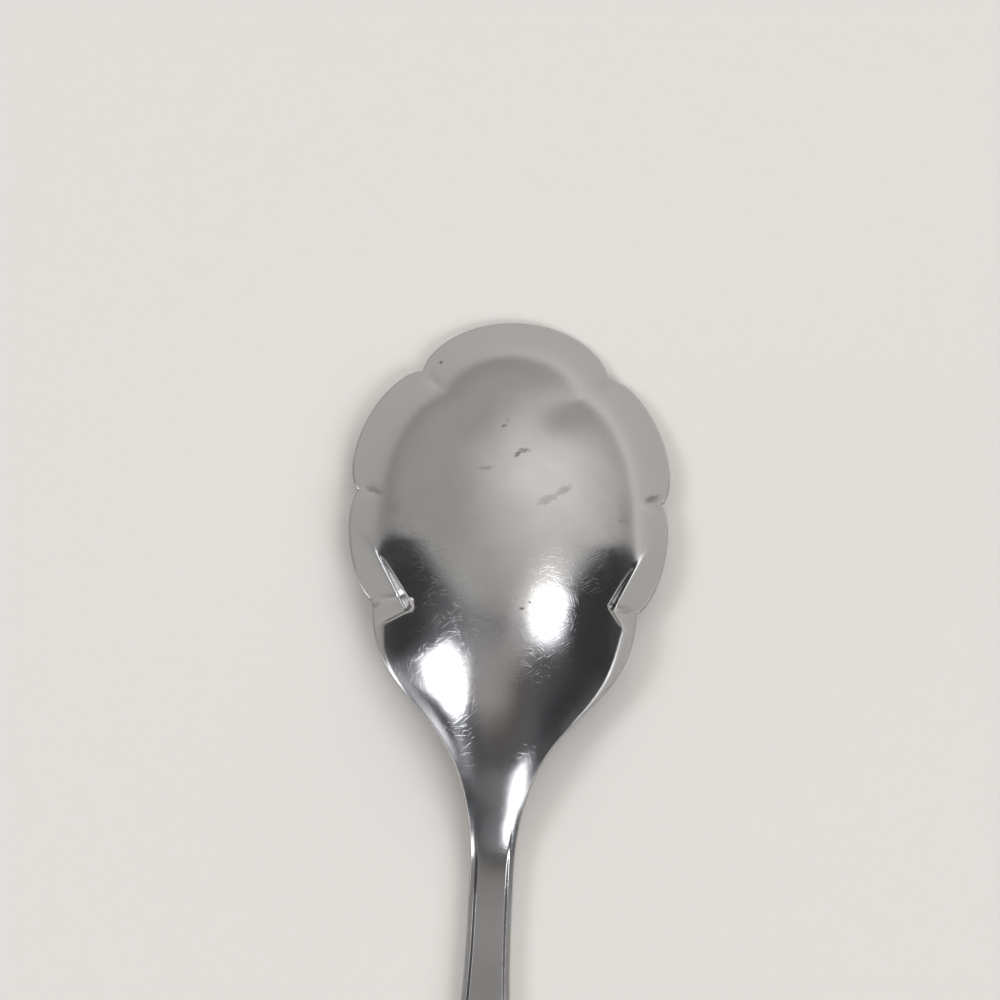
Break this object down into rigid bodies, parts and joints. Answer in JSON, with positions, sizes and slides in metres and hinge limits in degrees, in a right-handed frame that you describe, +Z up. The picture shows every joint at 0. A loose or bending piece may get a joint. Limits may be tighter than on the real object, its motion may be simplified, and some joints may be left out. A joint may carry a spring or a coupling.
{
  "type": "sugar shell",
  "caption": "Polished stainless-steel sugar shell, a small serving spoon with a scalloped bowl and a slim beaded handle, lying face down.",
  "frame": {"origin": "centre of the bounding box, on the table that the spoon lies on", "axes": "+Y along the spoon towards the tip of the bowl, +Z up, out of the back of the bowl, +X to the right"},
  "size_m": [0.0408, 0.152, 0.0108],
  "materials": {
    "steel": "polished stainless steel with fine scratches"
  },
  "bodies": {
    "root": {"bowl": "steel", "handle": "steel"}
  },
  "joints": []
}
